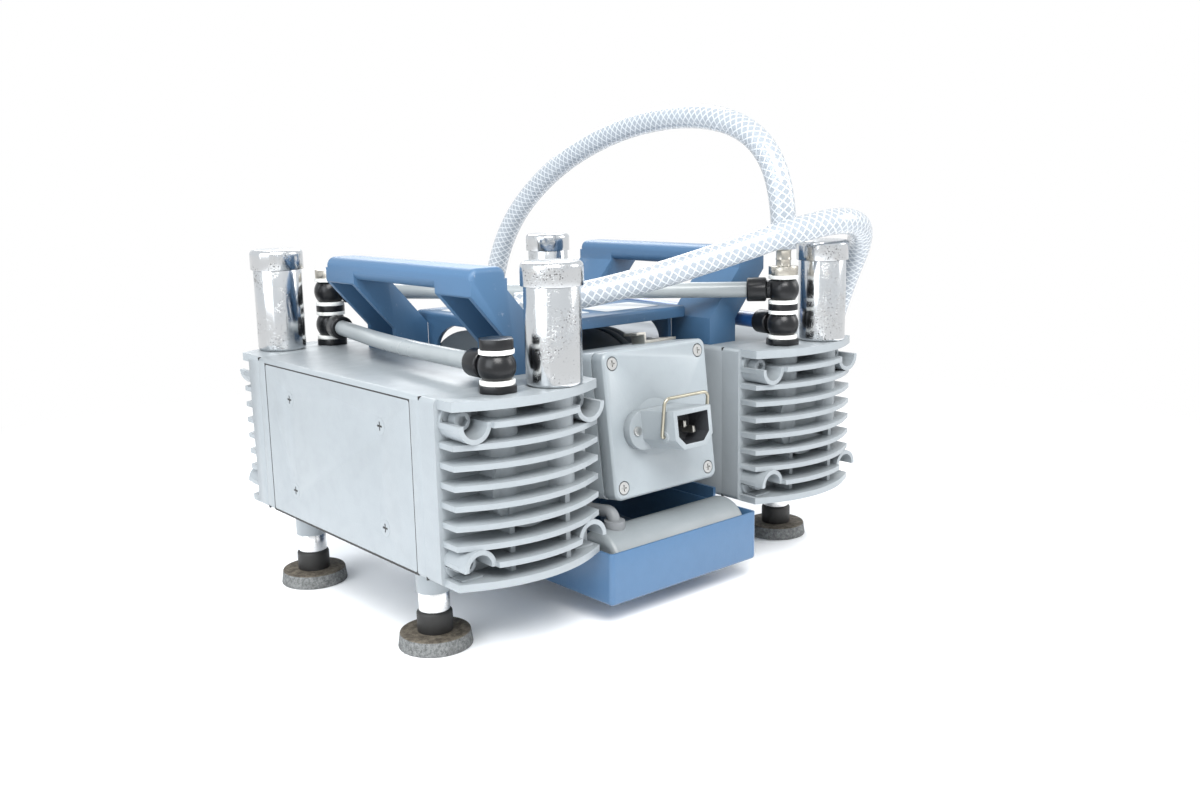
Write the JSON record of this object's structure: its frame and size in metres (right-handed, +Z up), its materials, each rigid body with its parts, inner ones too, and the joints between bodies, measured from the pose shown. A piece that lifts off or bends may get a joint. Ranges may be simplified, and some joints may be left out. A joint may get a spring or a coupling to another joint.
{
  "type": "diaphragm vacuum pump",
  "caption": "Diaphragm vacuum pump: twin finned-head drive units either side of a motor, with carrying handles, silencer cans, air tubes, a hose and rubber feet.",
  "frame": {"origin": "floor level, below the middle of the object", "axes": "+X along the motor shaft, -Y to the terminal box, +Z up"},
  "size_m": [0.3973, 0.3787, 0.2993],
  "materials": {
    "painted_casting": "satin light grey powder coat on die casting",
    "motor_grey": "matt dark grey enamel",
    "box_grey": "satin mid grey paint",
    "inlet_grey": "moulded plastic",
    "blue_moulding": "fine-grained moulded plastic",
    "blue_sheet": "satin paint on folded sheet",
    "chrome_can": "plated, slightly pitted",
    "black_anodised": "satin black anodised",
    "white_seal": "fluoropolymer seal",
    "nickel": "nickel plated",
    "bright_steel": "turned or zinc plated",
    "steel_core": "laminated steel",
    "bare_aluminium": "machined",
    "grey_tube": "extruded tube",
    "blue_hose": "extruded tube",
    "braided_hose": "clear tube with white braid",
    "black_rubber": "moulded rubber",
    "grit_pad": "speckled grey elastomer, dirty on top",
    "capacitor_grey": "smooth moulded can"
  },
  "bodies": {
    "frame": {"cross_head_screws": "bright_steel", "head_screws": "bright_steel", "inner_head_plates": "bare_aluminium", "valve_discs": "white_seal", "diaphragm_rims": "black_rubber", "motor_housing": "motor_grey", "stator": "steel_core", "ball_bearings": "bright_steel", "terminal_box_base": "box_grey", "terminal_box_cover": "box_grey", "inlet_adapter": "inlet_grey", "inlet_pins": "nickel", "top_cover": "blue_moulding", "clamp_bracket": "bright_steel", "drip_tray": "blue_sheet", "capacitor": "capacitor_grey", "capacitor_cable": "capacitor_grey", "can_bodies": "chrome_can", "can_caps": "chrome_can", "ring_bodies": "black_anodised", "tube_nuts": "black_anodised", "hollow_bolts": "black_anodised", "seal_washers": "white_seal", "blanking_plug": "nickel", "hose_nozzle": "nickel", "grey_tubes": "grey_tube", "blue_tube": "blue_hose", "hose": "braided_hose", "foot_sleeves": "bright_steel", "foot_rubbers": "black_rubber", "foot_pads": "grit_pad", "crankcase_left": "painted_casting", "side_cover_left": "painted_casting", "handle_left": "blue_moulding", "end_shield_left": "motor_grey", "head_front_left": "painted_casting", "head_rear_left": "painted_casting", "crankcase_right": "painted_casting", "side_cover_right": "painted_casting", "handle_right": "blue_moulding", "end_shield_right": "motor_grey", "head_front_right": "painted_casting", "head_rear_right": "painted_casting"},
    "shaft": {"motor_shaft": "bright_steel", "eccentrics": "steel_core", "rotor": "steel_core", "cooling_fan": "bare_aluminium"},
    "bail": {"inlet_bail": "bright_steel"},
    "rod_front_left": {"con_rod_front_left": "bare_aluminium", "diaphragm_front_left": "black_rubber", "clamp_disc_front_left": "bright_steel"},
    "rod_rear_left": {"con_rod_rear_left": "bare_aluminium", "diaphragm_rear_left": "black_rubber", "clamp_disc_rear_left": "bright_steel"},
    "rod_front_right": {"con_rod_front_right": "bare_aluminium", "diaphragm_front_right": "black_rubber", "clamp_disc_front_right": "bright_steel"},
    "rod_rear_right": {"con_rod_rear_right": "bare_aluminium", "diaphragm_rear_right": "black_rubber", "clamp_disc_rear_right": "bright_steel"}
  },
  "joints": [
    {"name": "shaft_spin", "type": "hinge", "parent": "frame", "child": "shaft", "pos_m": [0, 0, 0.0955], "axis": [1, 0, 0], "continuous": true},
    {"name": "rod_front_left_pivot", "type": "hinge", "parent": "shaft", "child": "rod_front_left", "pos_m": [-0.1123, 0, 0.0985], "axis": [1, 0, 0], "continuous": true},
    {"name": "rod_rear_left_pivot", "type": "hinge", "parent": "shaft", "child": "rod_rear_left", "pos_m": [-0.1123, 0, 0.0985], "axis": [1, 0, 0], "continuous": true},
    {"name": "rod_front_right_pivot", "type": "hinge", "parent": "shaft", "child": "rod_front_right", "pos_m": [0.1123, 0, 0.0985], "axis": [1, 0, 0], "continuous": true},
    {"name": "rod_rear_right_pivot", "type": "hinge", "parent": "shaft", "child": "rod_rear_right", "pos_m": [0.1123, 0, 0.0985], "axis": [1, 0, 0], "continuous": true},
    {"name": "bail_hinge", "type": "hinge", "parent": "frame", "child": "bail", "pos_m": [-0.0065, -0.12824, 0.10601], "axis": [1, 0, 0], "range_deg": [-30, 135]}
  ],
  "couplings": [
    {"joint": "rod_front_left_pivot", "follows": "shaft_spin", "ratio": -1},
    {"joint": "rod_rear_left_pivot", "follows": "shaft_spin", "ratio": -1},
    {"joint": "rod_front_right_pivot", "follows": "shaft_spin", "ratio": -1},
    {"joint": "rod_rear_right_pivot", "follows": "shaft_spin", "ratio": -1}
  ]
}
